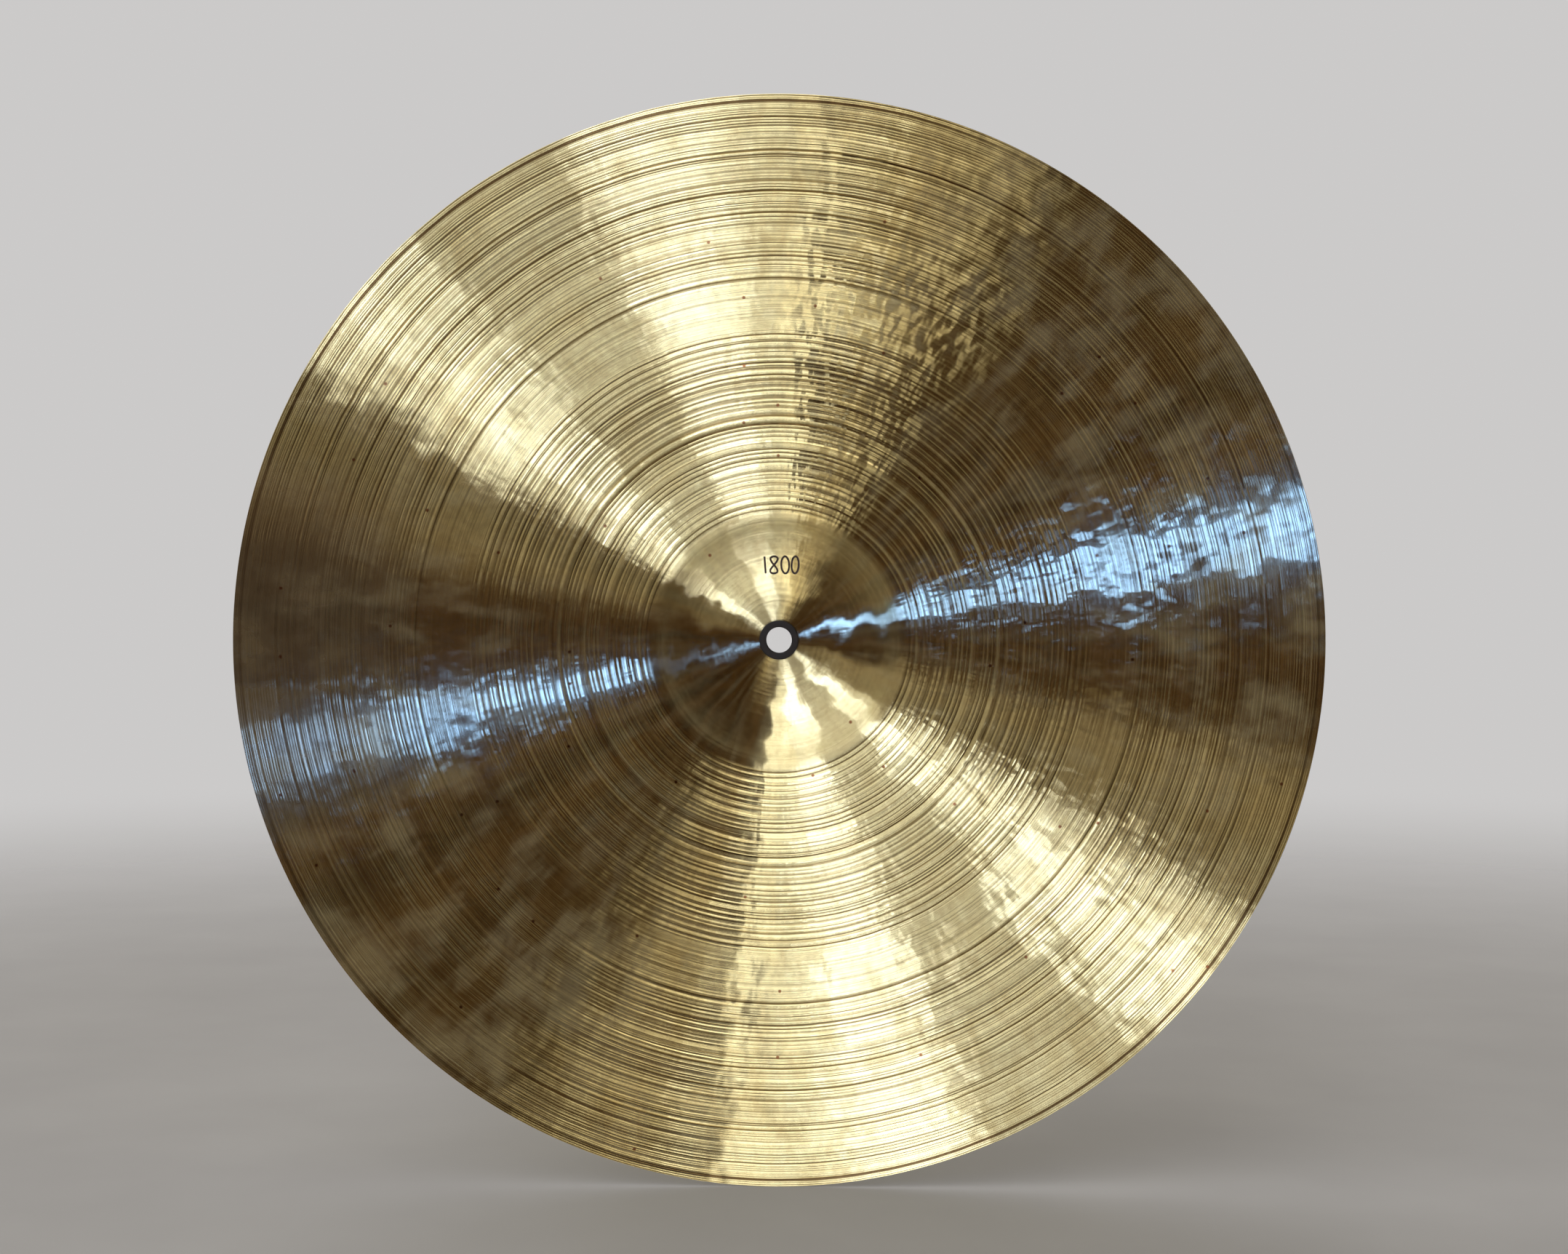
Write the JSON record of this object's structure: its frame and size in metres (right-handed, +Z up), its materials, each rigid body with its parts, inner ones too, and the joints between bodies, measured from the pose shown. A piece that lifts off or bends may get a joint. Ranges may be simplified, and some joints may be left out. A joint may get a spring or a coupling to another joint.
{
  "type": "crash cymbal",
  "caption": "Thin round bronze crash cymbal with a raised bell, a tapering lathed bow and a rubber grommet in its centre hole, for hanging on a stand's rod.",
  "frame": {"origin": "centre of the hole, on the face of the grommet that a stand's lower felt bears on", "axes": "+Y along the cymbal's axis from its open underside to its bell, +Z up as it is pictured on its edge, +X to the right when looking at the underside"},
  "size_m": [0.508, 0.0513, 0.508],
  "materials": {
    "bronze": "lathed and hammered bronze, tarnished in patches, with fine turned grooves",
    "rubber": "dull near-black moulded rubber"
  },
  "bodies": {
    "root": {"cymbal": "bronze", "hole_grommet": "rubber"}
  },
  "joints": []
}
